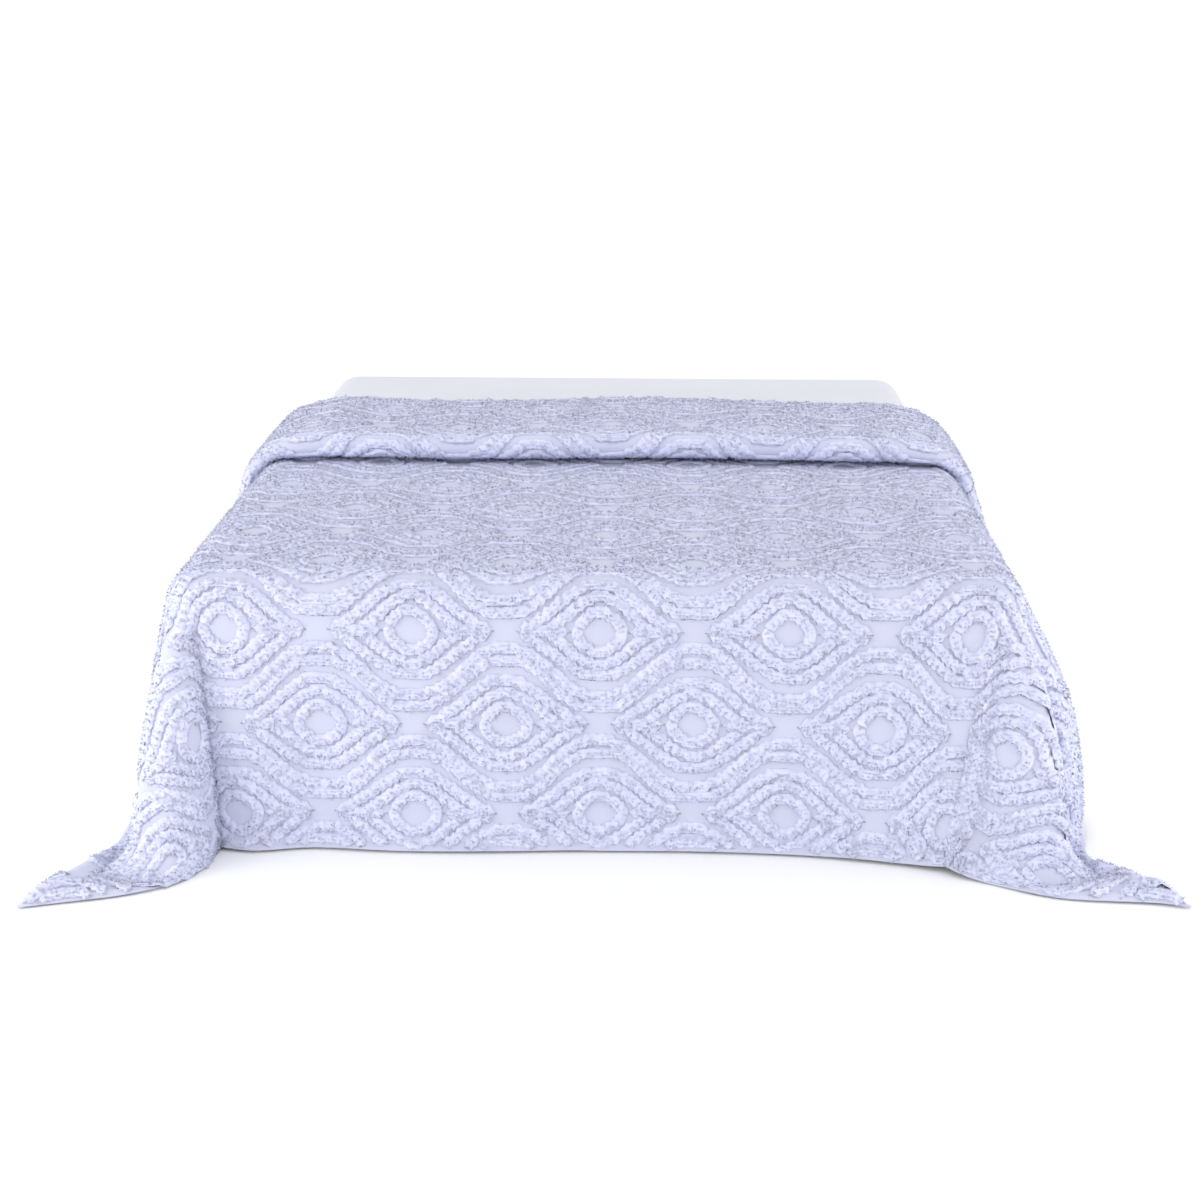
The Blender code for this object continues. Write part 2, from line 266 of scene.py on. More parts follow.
def fold_back(along):
    """Where points this far from the foot hem lie once folded: along the bed, and above it."""
    lip = DROP + LIP_FROM_FOOT - DRAPE_RADIUS
    turns = math.pi * (BACK_TURN_RADIUS + LIP_TURN_RADIUS)
    back = (SPREAD_LENGTH - turns + 2 * lip - TOP_LAYER_OVERHANG) / 3
    back_end = back + math.pi * BACK_TURN_RADIUS
    lip_start = back_end + back - lip
    lip_end = lip_start + math.pi * LIP_TURN_RADIUS
    middle = 2 * BACK_TURN_RADIUS
    top = middle + 2 * LIP_TURN_RADIUS
    back_turn = (along - back) / BACK_TURN_RADIUS
    lip_turn = (along - lip_start) / LIP_TURN_RADIUS
    stretch = (along > back) * 1 + (along > back_end) + (along > lip_start) + (along > lip_end)
    on_top = np.clip((along - lip_end) / (SPREAD_LENGTH - lip_end), 0, 1)
    bed = np.choose(
        stretch,
        [
            along,
            back + BACK_TURN_RADIUS * np.sin(back_turn),
            back - (along - back_end),
            lip - LIP_TURN_RADIUS * np.sin(lip_turn),
            lip + (along - lip_end),
        ],
    )
    lift = np.choose(
        stretch,
        [
            np.zeros(len(along)),
            BACK_TURN_RADIUS * (1 - np.cos(back_turn)),
            np.full(len(along), middle),
            middle + LIP_TURN_RADIUS * (1 - np.cos(lip_turn)),
            top + TOP_LAYER_PUFF * np.sin(math.pi * on_top),
        ],
    )
    return bed, lift, (back, back_end, lip_start, lip_end)


def drape(across, along):
    """Points of the folded and draped spread for flat positions on the cloth."""
    bed, lift, _ = fold_back(along)
    lifted = np.clip(lift / (2 * BACK_TURN_RADIUS), 0, 1)
    bed = bed + LIP_WANDER * np.sin(across * LIP_WAVES + 0.6) * lifted
    lift = lift * (1 + LIFT_WANDER * np.sin(across * LIFT_WAVES + 1.0))
    past = np.abs(across) - BEND_X
    hung = np.clip((past + SIDE_EASE) / (DRAPE_RADIUS * math.pi / 2 + SIDE_EASE), 0, 1)
    lift = lift * (1 - SIDE_PRESS * hung * hung * (3 - 2 * hung))
    outer = DRAPE_RADIUS + lift
    quarter = math.pi / 2
    slid = np.where(past < outer * quarter, past * DRAPE_RADIUS / outer, past - lift * quarter)
    across = np.sign(across) * (BEND_X + np.where(past > 0, slid, past))
    near = 0.0005
    base = lay(across, bed)
    width_way = lay(across + near, bed) - lay(across - near, bed)
    length_way = lay(across, bed + near) - lay(across, bed - near)
    return base + unit(np.cross(width_way, length_way)) * lift[:, None]


def stations(marks, steps):
    """Grid lines from mark to mark, with that many even steps between each pair."""
    lines = [marks[0]]
    for begin, end, count in zip(marks, marks[1:], steps):
        lines += [begin + (end - begin) * (i + 1) / count for i in range(count)]
    return np.array(lines)


# The tufted pattern: pointed ovals in staggered rows, three to a nest, and two wavy lines that
# run between one row of nests and the next
NEST_SPACING = 0.3558
ROW_SPACING = 0.1845
PATTERN_SHIFT = 0.0135
PATTERN_START = 0.0556
# Each oval's half length, half height and fullness, from the inmost out
OVALS = (
    (0.041, 0.037, 0.25),
    (0.104, 0.064, 0.72),
    (0.158, 0.089, 0.85),
)
COLUMNS = 9
ROWS_UP = 14
ROWS_DOWN = 7
# How many points an oval is drawn with, the fullness at or below which it is one round ring, and
# how many points that ring runs on past its start
OVAL_POINTS = 81
ROUND_FULLNESS = 0.5
RING_OVERLAP = 4
WAVE_OFFSETS = (-0.0115, 0.0115)
WAVE_HEIGHT = 0.0465
WAVE_FLATNESS = 1.1
WAVE_STEP = 0.006
# The straight row in an oval's point starts this far outside the inmost oval and stops this far
# inside the outmost one
TIP_START = 0.012
TIP_STOP = 0.006
# How far a line of stitching strays, the waves that it strays in, across and along, and over how
# many tufts it eases back to true at its ends
LINE_WANDER = 0.0016
WANDER_WAVES = ((31, 67), (27, 59))
WANDER_EASE = 6
# The spacing of the picks that slopes are stepped to, and how firmly they are drawn to it
PICK = 0.0095
PICK_PULL = 0.8
HEM_WIDTH = 0.016
HEM_ROUND = 0.002
HEM_RISE = 0.0012
TUFT_MARGIN = 0.008
# How far tufting goes on under the fold's lip, and how far before the lip's turn it starts again
HIDDEN_UNDER_FOLD = 0.05
LIP_LEAD = 0.015
# The foot's tufts begin this far below the line where the cloth starts to bend down
FOOT_SEAM = 0.02
# Wavelengths of the cloth's small ripples, and the seed of their random ways and phases
RIPPLES = (0.62, 0.44, 0.31, 0.23, 0.17, 0.13)
RIPPLE_SEED = 3
# How far apart points are that give the cloth's directions
PROBE = 0.002

# The tufts' pieces: which stretch of the cloth each covers
REGIONS = ("foot", "left", "right", "top_left", "top_right", "fold")


class Tone:
    """A shader socket that takes part in sums, so that maths on it adds its Math nodes."""

    def __init__(self, graph, socket):
        self.graph = graph
        self.socket = socket

    def _with(self, operation, first, second):
        return self.graph.node("ShaderNodeMath", {"operation": operation}, {0: first, 1: second})

    def __add__(self, other):
        return self._with("ADD", self, other)

    def __radd__(self, other):
        return self._with("ADD", other, self)

    def __sub__(self, other):
        return self._with("SUBTRACT", self, other)

    def __rsub__(self, other):
        return self._with("SUBTRACT", other, self)

    def __mul__(self, other):
        return self._with("MULTIPLY", self, other)

    def __rmul__(self, other):
        return self._with("MULTIPLY", other, self)


class Finish:
    """A new material and the one method that adds nodes to it."""

    def __init__(self, name):
        self.material = bpy.data.materials.new(name)
        self.material.use_nodes = True
        self.tree = self.material.node_tree
        self.shader = self.tree.nodes["Principled BSDF"]
        self.shader.inputs["Metallic"].default_value = 0

    def node(self, kind, settings=None, values=None, output=0):
        made = self.tree.nodes.new(kind)
        for setting, value in (settings or {}).items():
            if setting == "stops":
                for stop, (place, colour) in zip(made.color_ramp.elements, value):
                    stop.position = place
                    stop.color = colour
            else:
                setattr(made, setting, value)
        for key, value in (values or {}).items():
            self.feed(made.inputs[key], value)
        return Tone(self, made.outputs[output])

    def feed(self, socket, value):
        if isinstance(value, Tone):
            self.tree.links.new(value.socket, socket)
        else:
            socket.default_value = value

    def set(self, **values):
        for name, value in values.items():
            self.feed(self.shader.inputs[name.replace("_", " ")], value)

    def mix(self, factor, first, second, blend="MIX"):
        return self.node(
            "ShaderNodeMix",
            {"data_type": "RGBA", "blend_type": blend},
            {0: factor, 6: first, 7: second},
            output=2,
        )

    def bump(self, height, distance, strength=1.0):
        return self.node(
            "ShaderNodeBump",
            values={"Height": height, "Distance": distance, "Strength": strength},
        )


def rgba(colour, shade=1.0):
    return (colour[0] * shade, colour[1] * shade, colour[2] * shade, 1.0)


class BedspreadCloth(PropertyGroup):
    step: FloatProperty(
        name="Grid step",
        description="Distance between the points of the cloth",
        default=0.0240,
        min=0.008,
        unit="LENGTH",
    )
    ripple: FloatProperty(
        name="Ripple",
        description="How far the cloth's small ripples rise",
        default=0.0022,
        min=0,
        unit="LENGTH",
    )
    colour: FloatVectorProperty(
        name="Ground colour",
        description="Colour of the cotton ground",
        default=(0.585, 0.607, 0.76),
        subtype="COLOR",
    )


class BedspreadTufts(PropertyGroup):
    pitch: FloatProperty(
        name="Tuft pitch",
        description="Distance from tuft to tuft along a line",
        default=0.0058,
        min=0.002,
        unit="LENGTH",
    )
    reach: FloatProperty(
        name="Pile reach",
        description="How far the pile spreads from its line to each side",
        default=0.0108,
        min=0.003,
        unit="LENGTH",
    )
    height: FloatProperty(
        name="Pile height",
        description="How high the pile stands above the ground cloth",
        default=0.0068,
        min=0.003,
        unit="LENGTH",
    )
    sag: FloatProperty(
        name="Sag",
        description="How far the pile's crown hangs down where the cloth is upright",
        default=0.0025,
        min=0,
        unit="LENGTH",
    )
    uneven: FloatProperty(
        name="Unevenness",
        description="How much the pile's height and reach differ, as a share of them",
        default=0.16,
        min=0,
        max=0.5,
    )
    tuft: FloatProperty(
        name="Tuft width",
        description="Thickness of the single tufts that stand out of the pile",
        default=0.0046,
        min=0.001,
        unit="LENGTH",
    )
    seed: IntProperty(
        name="Seed",
        description="Start of the tufts' random differences",
        default=7,
    )
    colour: FloatVectorProperty(
        name="Pile colour",
        description="Colour of the cut pile",
        default=(0.665, 0.69, 0.88),
        subtype="COLOR",
    )


class BedspreadBed(PropertyGroup):
    sheet_colour: FloatVectorProperty(
        name="Mattress colour",
        description="Colour of the mattress cover",
        default=(0.72, 0.73, 0.80),
        subtype="COLOR",
    )
    base_colour: FloatVectorProperty(
        name="Base colour",
        description="Colour of the bed base's cloth",
        default=(0.50, 0.50, 0.54),
        subtype="COLOR",
    )


class BedspreadStage(PropertyGroup):
    key: FloatProperty(
        name="Left light",
        description="Power of the large low light in front, to the left",
        default=50.0,
        min=0,
        unit="POWER",
    )
    fill: FloatProperty(
        name="Right light",
        description="Power of the large low light in front, to the right",
        default=29.0,
        min=0,
        unit="POWER",
    )
    sky: FloatProperty(
        name="Room light",
        description="Strength of the even light from all round",
        default=1.08,
        min=0,
    )


def ripple_height(across, along, height):
    """Small uneven ripples of the cloth, from nothing to the height given."""
    chance = np.random.RandomState(RIPPLE_SEED)
    total = np.zeros(len(across))
    for length in RIPPLES:
        way = chance.uniform(0, math.pi)
        phase = chance.uniform(0, 2 * math.pi)
        swerve = 0.25 * np.sin(3.1 * across + 2.3 * along + phase)
        place = across * math.cos(way) + along * math.sin(way) + 0.1 * swerve
        total += np.sin(2 * math.pi * place / length + phase) * length
    total /= 0.9
    return height * np.clip(0.5 + 0.5 * total, 0, 1.2)


def hem_height(across, along):
    """How much higher the doubled cloth of the hem stands."""
    edge = np.minimum(SPREAD_WIDTH / 2 - np.abs(across), np.minimum(along, SPREAD_LENGTH - along))
    return HEM_RISE * np.clip((HEM_WIDTH - edge) / HEM_ROUND, 0, 1)


def surface(across, along):
    """Points of the cloth's tufted face, and its directions across, along and outwards."""
    ripple = bpy.context.scene.bedspread_cloth.ripple
    point = drape(across, along)
    width_way = unit(drape(across + PROBE, along) - drape(across - PROBE, along))
    length_way = drape(across, along + PROBE) - drape(across, along - PROBE)
    out_way = unit(np.cross(width_way, length_way))
    length_way = unit(np.cross(out_way, width_way))
    height = SPREAD_THICKNESS / 2 + ripple_height(across, along, ripple)
    height += hem_height(across, along)
    return point + out_way * height[:, None], width_way, length_way, out_way


def even_lines(marks, step):
    """Grid lines through every mark, no further apart than the step."""
    gaps = np.diff(marks)
    return stations(marks, [max(1, math.ceil(gap / step - 0.01)) for gap in gaps])


def finish_piece(obj, *materials):
    for each in materials:
        obj.data.materials.append(each)
    obj.data.shade_smooth()
    bpy.context.scene.collection.objects.link(obj)
    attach(obj, "root")
    return obj


class BEDSPREAD_OT_cloth(Operator):
    """Adds the cotton ground cloth with its hem"""

    bl_idname = "bedspread.cloth"
    bl_label = "Add ground cloth"

    def execute(self, context):
        cloth = context.scene.bedspread_cloth
        half = SPREAD_WIDTH / 2
        bend = DRAPE_RADIUS * math.pi / 2
        _, _, (back, back_end, lip_start, lip_end) = fold_back(np.zeros(1))
        hem = [HEM_ROUND, HEM_WIDTH - HEM_ROUND, HEM_WIDTH]
        outer = [half - each for each in reversed(hem)]
        across = even_lines(
            [-half, *[-each for each in reversed(outer)], -BEND_X - bend, -BEND_X, 0]
            + [BEND_X, BEND_X + bend, *outer, half],
            cloth.step,
        )
        inner = even_lines([0, *hem, DROP - bend, DROP, back], cloth.step)
        turns = stations([back, back_end], [9])
        middle = even_lines([back_end, lip_start], cloth.step * 2)
        lip = stations([lip_start, lip_end], [10])
        top = even_lines(
            [lip_end, *[SPREAD_LENGTH - each for each in reversed(hem)], SPREAD_LENGTH],
            cloth.step,
        )
        along = np.unique(np.concatenate([inner, turns, middle, lip, top]).round(7))
        form = bmesh.new()
        bmesh.ops.create_grid(
            form, x_segments=len(across) - 1, y_segments=len(along) - 1, size=1
        )
        mesh = bpy.data.meshes.new("bedspread_cloth")
        form.to_mesh(mesh)
        form.free()
        place = np.empty(len(mesh.vertices) * 3)
        mesh.vertices.foreach_get("co", place)
        place = place.reshape(-1, 3)
        column = np.rint((place[:, 0] + 1) / 2 * (len(across) - 1)).astype(int)
        row = np.rint((place[:, 1] + 1) / 2 * (len(along) - 1)).astype(int)
        point, _, _, _ = surface(across[column], along[row])
        mesh.vertices.foreach_set("co", point.ravel())
        corners = np.empty(len(mesh.loops), int)
        mesh.loops.foreach_get("vertex_index", corners)
        flat = np.column_stack([across[column] / SPREAD_WIDTH + 0.5, along[row] / SPREAD_LENGTH])
        layer = mesh.uv_layers.new(name="cloth")
        layer.data.foreach_set("uv", flat[corners].ravel())
        mesh.update()
        made = bpy.data.objects.new("bedspread_cloth", mesh)
        thick = made.modifiers.new("thickness", "SOLIDIFY")
        thick.thickness = SPREAD_THICKNESS
        thick.offset = -1
        finish_piece(made, ground_cotton(cloth.colour))
        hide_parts("bedspread")
        return {"FINISHED"}


# The weave's pitches across and along the cloth, in millimetres, and how high cotton's threads
# and fibres stand, in metres
WARP_PITCH = 1.5
WEFT_PITCH = 1.3
FIBRE_RELIEF = 0.0006


def ground_cotton(colour):
    """Matt white cotton: a plain weave of uneven threads, a little greyer in places."""
    finish = Finish("ground_cotton")
    flat = finish.node("ShaderNodeUVMap", {"uv_map": "cloth"})
    threads = finish.node(
        "ShaderNodeMapping",
        values={"Vector": flat, "Scale": (SPREAD_WIDTH * 1000, SPREAD_LENGTH * 1000, 1)},
    )
    split = finish.tree.nodes.new("ShaderNodeSeparateXYZ")
    finish.feed(split.inputs[0], threads)
    across = Tone(finish, split.outputs[0])
    along = Tone(finish, split.outputs[1])

    def wave(value, pitch):
        turn = value * (2 * math.pi / pitch)
        return finish.node("ShaderNodeMath", {"operation": "SINE"}, {0: turn})

    weave = wave(across, WARP_PITCH) * wave(along, WEFT_PITCH)
    slub = finish.node(
        "ShaderNodeTexNoise", values={"Vector": threads, "Scale": 0.25, "Detail": 3.0}
    )
    cloud = finish.node(
        "ShaderNodeTexNoise",
        values={"Vector": threads, "Scale": 0.006, "Detail": 2.0},
    )
    shade = weave * 0.12 + slub * 0.7
    tone = finish.mix(cloud, rgba(colour, 0.96), rgba(colour, 1.03))
    finish.set(
        Base_Color=finish.mix(0.10 * slub, tone, rgba(colour, 0.75)),
        Roughness=0.93,
        Specular_IOR_Level=0.25,
        Normal=finish.bump(shade, FIBRE_RELIEF, 0.6),
    )
    finish.shader.inputs["Sheen Weight"].default_value = 0.15
    return finish.material


def cut_pile(colour):
    """Cut cotton pile: pale at the tips, painted shade at the roots and in a few specks, each tuft
    a little different.
    """
    finish = Finish("cut_pile")
    painted_shading = finish.node("ShaderNodeAttribute", {"attribute_name": "painted_shading"}, output=2)
    shade = finish.node("ShaderNodeAttribute", {"attribute_name": "shade"}, output=2)
    tips = finish.mix(shade, rgba(colour, 0.92), rgba(colour, 1.07))
    place = finish.node("ShaderNodeTexCoord", output=3)
    fibre = finish.node(
        "ShaderNodeTexNoise", values={"Vector": place, "Scale": 900.0, "Detail": 2.0}
    )
    # Painted shade: the colour darkens to 0.24 of the pile colour where the painted shading is 0,
    # at the roots
    finish.set(
        Base_Color=finish.mix(painted_shading, rgba(colour, 0.24), tips),
        Roughness=0.97,
        Specular_IOR_Level=0.2,
        Normal=finish.bump(fibre, FIBRE_RELIEF, 0.5),
    )
    return finish.material


def spaced(points, pitch):
    """The points of a line moved to even steps along it."""
    steps = np.linalg.norm(np.diff(points, axis=0), axis=1)
    length = np.concatenate([[0], np.cumsum(steps)])
    count = max(2, round(length[-1] / pitch))
    at = (np.arange(count) + 0.5) * length[-1] / count
    return np.column_stack([np.interp(at, length, points[:, axis]) for axis in (0, 1)])


def oval_lines(half_length, half_height, fullness):
    """A pointed oval as its two halves, or a round one as a ring that runs on past its start."""
    turn = np.linspace(-math.pi, math.pi, OVAL_POINTS)
    rise = half_height * ((1 + np.cos(turn)) / 2) ** fullness
    upper = np.column_stack([turn / math.pi * half_length, rise])
    lower = upper[::-1] * (1, -1)
    if fullness > ROUND_FULLNESS:
        return [upper, lower]
    return [np.concatenate([upper, lower[1:], upper[1 : 1 + RING_OVERLAP]])]


def wave_line(offset):
    """A wavy line right across, lifted by the offset from halfway between two rows of nests."""
    across = np.arange(-COLUMNS * NEST_SPACING / 2, COLUMNS * NEST_SPACING / 2, WAVE_STEP)
    turn = 2 * math.pi * across / NEST_SPACING
    rise = np.sin(WAVE_FLATNESS * np.cos(turn)) / math.sin(WAVE_FLATNESS)
    return np.column_stack([across, ROW_SPACING / 2 + offset + WAVE_HEIGHT * rise])


def tip_lines():
    """The short straight rows that fill the ovals' pointed ends."""
    begin, end = OVALS[0][0] + TIP_START, OVALS[-1][0] - TIP_STOP
    return [np.array([(side * begin, 0), (side * end, 0)]) for side in (-1, 1)]


def pattern_lines(pitch, chance):
    """Every tufted line of the cloth, as even steps of flat positions, with their headings."""
    nest = [line for oval in OVALS for line in oval_lines(*oval)] + tip_lines()
    waves = [wave_line(offset) for offset in WAVE_OFFSETS]
    lines = []
    for row in range(-ROWS_UP, ROWS_DOWN):
        along = DROP + PATTERN_START - row * ROW_SPACING
        first = -COLUMNS + (row + COLUMNS + 1) % 2
        places = [(column, nest) for column in range(first, COLUMNS, 2)]
        places.append((row % 2 + 1, waves))
        for column, shapes in places:
            centre = np.array([PATTERN_SHIFT + column * NEST_SPACING / 2, along])
            for shape in shapes:
                line = spaced(shape, pitch)
                heading = unit(np.gradient(line, axis=0))
                line[:, 1] = stepped(line[:, 1])
                lines.append((wandered(line + centre, chance), heading))
    return lines


def stepped(along):
    """Places along the cloth drawn towards whole picks, which gives slopes their jagged steps."""
    return along + PICK_PULL * (np.rint(along / PICK) * PICK - along)


def wandered(line, chance):
    """A line of stitching as a hand guides it, not quite true."""
    phase = chance.uniform(0, 2 * math.pi, 4)
    far = np.arange(len(line)) * 0.004
    strays = [
        np.sin(far * slow + first) + 0.6 * np.sin(far * fast + second)
        for (slow, fast), (first, second) in zip(WANDER_WAVES, phase.reshape(2, 2))
    ]
    off = np.column_stack(strays)
    count = np.arange(len(line))
    ease = np.minimum(1, np.minimum(count, count[::-1]) / WANDER_EASE)
    return line + off * ease[:, None] * LINE_WANDER


def shown(point):
    """True where a flat position is inside the hems and not hidden inside the fold."""
    _, _, (_, _, lip_start, _) = fold_back(np.zeros(1))
    lip = DROP + LIP_FROM_FOOT - DRAPE_RADIUS
    across, along = point[:, 0], point[:, 1]
    inside = np.abs(across) < SPREAD_WIDTH / 2 - TUFT_MARGIN
    inside &= (along > TUFT_MARGIN) & (along < SPREAD_LENGTH - TUFT_MARGIN)
    folded_in = (along > lip + HIDDEN_UNDER_FOLD) & (along < lip_start - LIP_LEAD)
    return inside & ~folded_in


def region_of(across, along):
    """Which of the tufts' pieces each position belongs to."""
    _, _, (back, _, _, _) = fold_back(np.zeros(1))
    on_side = np.abs(across) > BEND_X
    names = np.where(across < 0, "top_left", "top_right").astype("<U9")
    names[along > back] = "fold"
    names[along < DROP - FOOT_SEAM] = "foot"
    names[on_side & (across < 0)] = "left"
    names[on_side & (across > 0)] = "right"
    return names


# Half of the pile's section, from its foot in the cloth up to its crown: how far out, how high
# and how pale each point is, as shares of the reach, the height and the whole shade; the paleness
# is painted shade, darkest at the foot where the roots lie in shadow
PILE_SECTION = (
    (0.94, -0.25, 0.0),
    (1.00, 0.30, 0.1),
    (0.80, 0.60, 1.0),
)
# How much further out the pile's lower foot lies on upright cloth, showing the roots' painted shade
LOWER_EDGE = 0.38
# How much less the roots' painted shade, and the lower foot's reach, show where the cloth faces
# aside
SIDE_LIT = 0.75
# Runs shorter than this many tufts are left out. A run grows to its full size by RUN_TAPER a
# tuft, from RUN_END of it.
SHORTEST_RUN = 4
RUN_TAPER = 0.5
RUN_END = 0.05
# How far each row of single tufts leans from upright, in degrees, and how uneven that is
LEANS = (-62, -24, 24, 62)
LEAN_SCATTER = 18
# Where single tufts leave the pile and where they end, as shares of the way to its outside, and
# how uneven their ends are
TUFT_ROOT = 0.50
TUFT_TIP = 1.30
TIP_SCATTER = 0.42
TUFT_FACES = ((0, 1, 3), (1, 2, 3), (2, 0, 3), (0, 2, 1))
# How dark the painted shadow is at the root of a tuft that points downhill, which share of the
# tufts are specks of painted shade, and how dark those are
TUFT_SHADOW = 0.5
SHADE_SPECKS = 0.10
SPECK_SHADOW = 0.4
THIRDS = (0, 2 * math.pi / 3, 4 * math.pi / 3)
TUFT_POINTS = len(THIRDS) + 1


def shown_runs(pitch, chance):
    """Each unbroken run of tufting that shows, as its flat positions and its headings."""
    runs = []
    for line, heading in pattern_lines(pitch, chance):
        edges = np.flatnonzero(np.diff(np.concatenate([[0], shown(line), [0]])))
        for begin, end in edges.reshape(-1, 2):
            if end - begin >= SHORTEST_RUN:
                runs.append((line[begin:end], heading[begin:end]))
    return runs


def standing(flat, heading):
    """Where rows of pile stand, and their ways along, to the left, outwards and downhill."""
    point, width_way, length_way, out_way = surface(flat[:, 0], flat[:, 1])
    along_way = width_way * heading[:, :1] + length_way * heading[:, 1:]
    down_way = np.array([0, 0, -1.0]) + out_way * out_way[:, 2:3]
    return point, along_way, np.cross(out_way, along_way), out_way, down_way


def rows_of_pile(flat, heading, full, chance, tufts):
    """Points, shading directions and painted shade of the pile's body: a section at each position.
    """
    out, rise, painted_paleness = (np.array(column) for column in zip(*PILE_SECTION))
    out = np.concatenate([out, -out[::-1]])
    rise = np.concatenate([rise, rise[::-1]])
    painted_paleness = np.concatenate([painted_paleness, painted_paleness[::-1]])
    point, _, left_way, out_way, down_way = standing(flat, heading)
    jitter = 1 + tufts.uneven * chance.uniform(-1, 1, (2, len(flat), len(out)))
    downhill = np.clip((left_way * down_way).sum(-1)[:, None] * np.sign(out), 0, 1)
    downhill *= 1 - SIDE_LIT * out_way[:, :1] ** 2
    trailing = LOWER_EDGE * downhill * (painted_paleness == 0)
    aside = (out + np.sign(out) * trailing) * tufts.reach * jitter[0] * full[:, None]
    tall = rise * tufts.height * jitter[1] * full[:, None]
    hung = rise * tufts.sag * full[:, None]
    points = (
        point[:, None]
        + left_way[:, None] * aside[:, :, None]
        + out_way[:, None] * tall[:, :, None]
        + down_way[:, None] * hung[:, :, None]
    )
    soft = unit(left_way[:, None] * out[:, None] * 0.8 + out_way[:, None] * (0.5 + rise[:, None]))
    # Painted shade at the roots on the pile's downhill side, for the shadow under its lower edge,
    # stronger or weaker at random
    painted_shading = 1 - downhill * (1 - painted_paleness) * chance.uniform(0.3, 1, (len(flat), 1))
    return points, soft, painted_shading


def single_tufts(flat, heading, full, lean, chance, tufts):
    """Points, shading directions and painted shade of tufts that fan out of the pile at one lean.
    """
    point, along_way, left_way, out_way, down_way = standing(flat, heading)
    jitter = chance.uniform(-1, 1, (len(flat), 5, 1))
    lean = np.radians(lean + LEAN_SCATTER * jitter[:, 0])
    start = point + along_way * tufts.pitch * 0.45 * jitter[:, 1]
    spoke = left_way * tufts.reach * np.sin(lean) + out_way * tufts.height * np.cos(lean)
    spoke *= full[:, None]
    root = start + spoke * TUFT_ROOT + down_way * tufts.sag * 0.6
    tip = start + spoke * (TUFT_TIP + TIP_SCATTER * jitter[:, 2]) + down_way * tufts.sag
    tip += along_way * tufts.pitch * 0.5 * jitter[:, 3]
    away = unit(tip - root)
    wide_way = unit(np.cross(along_way, away))
    long_way = np.cross(away, wide_way)
    half = tufts.tuft / 2 * (1 + 0.25 * jitter[:, 4])
    spread = [math.cos(turn) * wide_way + math.sin(turn) * long_way for turn in THIRDS]
    points = np.stack([*(root + half * each for each in spread), tip], axis=1)
    soft = np.broadcast_to(unit(out_way + away * 0.6)[:, None], points.shape)
    downhill = np.clip((away * down_way).sum(-1), 0, 1)
    shade_speck = chance.uniform(0, 1, len(flat)) < SHADE_SPECKS
    # Painted shadow at the roots of downhill tufts, and painted shade over the whole of a few speck
    # tufts
    shadow = downhill[:, None] * TUFT_SHADOW * np.array([1, 1, 1, 0])
    return points, soft, 1 - np.maximum(shadow, SPECK_SHADOW * shade_speck[:, None])


def whole_pile(tufts):
    """All pile: points, shading directions, painted shade, random shades, faces and their pieces.
    """
    chance = np.random.RandomState(tufts.seed)
    runs = shown_runs(tufts.pitch, chance)
    flat, heading = (np.concatenate(each) for each in zip(*runs))
    counts = [np.arange(len(each)) for each, _ in runs]
    full = np.concatenate([RUN_TAPER * np.minimum(each, each[::-1]) for each in counts])
    full = full.clip(RUN_END, 1)
    region = region_of(flat[:, 0], flat[:, 1])
    parts = [rows_of_pile(flat, heading, full, chance, tufts)]
    size = parts[0][0].shape[1]
    joined = np.flatnonzero(np.concatenate([each < len(each) - 1 for each in counts]))
    corner = (joined[:, None] * size + np.arange(size - 1)).ravel()
    faces = [
        np.column_stack([corner, corner + 1, corner + size + 1]),
        np.column_stack([corner, corner + size + 1, corner + size]),
    ]
    places = [np.repeat(region[joined], size - 1)] * 2
    total = len(flat) * size
    tuft = np.arange(len(flat))[:, None, None] * TUFT_POINTS + np.array(TUFT_FACES)
    for lean in LEANS:
        parts.append(single_tufts(flat, heading, full, lean, chance, tufts))
        faces.append(tuft.reshape(-1, 3) + total)
        places.append(np.repeat(region, len(TUFT_FACES)))
        total += len(flat) * TUFT_POINTS
    points, soft = (np.concatenate([part[k].reshape(-1, 3) for part in parts]) for k in (0, 1))
    points[:, 2] = np.maximum(points[:, 2], 2 * FLOOR_CLEARANCE)
    # The painted shade of every point, from the rows of pile and the single tufts
    painted_shading = np.concatenate([part[2].ravel() for part in parts])
    shade = [np.repeat(chance.uniform(0, 1, len(part[0])), part[0].shape[1]) for part in parts]
    return points, soft, painted_shading, np.concatenate(shade), np.concatenate(faces), np.concatenate(places)


class BEDSPREAD_OT_tufts(Operator):
    """Adds the rows of cut pile over the cloth's whole face"""

    bl_idname = "bedspread.tufts"
    bl_label = "Add tufting"

    def execute(self, context):
        tufts = context.scene.bedspread_tufts
        points, soft, painted_shading, shade, faces, places = whole_pile(tufts)
        pile = cut_pile(tufts.colour)
        for name in REGIONS:
            used, corners = np.unique(faces[places == name], return_inverse=True)
            made = add_pile("tufts_" + name, points[used], corners, soft[used], pile)
            # Each point's painted shade and random tone go to the pile's material
            for label, values in (("painted_shading", painted_shading[used]), ("shade", shade[used])):
                layer = made.data.attributes.new(label, "FLOAT", "POINT")
                layer.data.foreach_set("value", values)
        return {"FINISHED"}


def add_pile(name, points, corners, soft, pile):
    """Joins pile into one mesh of triangles, shaded as softly as light goes through it."""
    mesh = bpy.data.meshes.new(name)
    mesh.vertices.add(len(points))
    mesh.vertices.foreach_set("co", points.ravel())
    mesh.loops.add(corners.size)
    mesh.loops.foreach_set("vertex_index", corners.ravel())
    mesh.polygons.add(corners.size // 3)
    mesh.polygons.foreach_set("loop_start", np.arange(0, corners.size, 3))
    mesh.update()
    made = bpy.data.objects.new(name, mesh)
    finish_piece(made, pile)
    mesh.normals_split_custom_set_from_vertices(soft)
    return made


# How many strips a padded block is cut into along its width, its length and its height
BLOCK_STRIPS = (24, 24, 4)


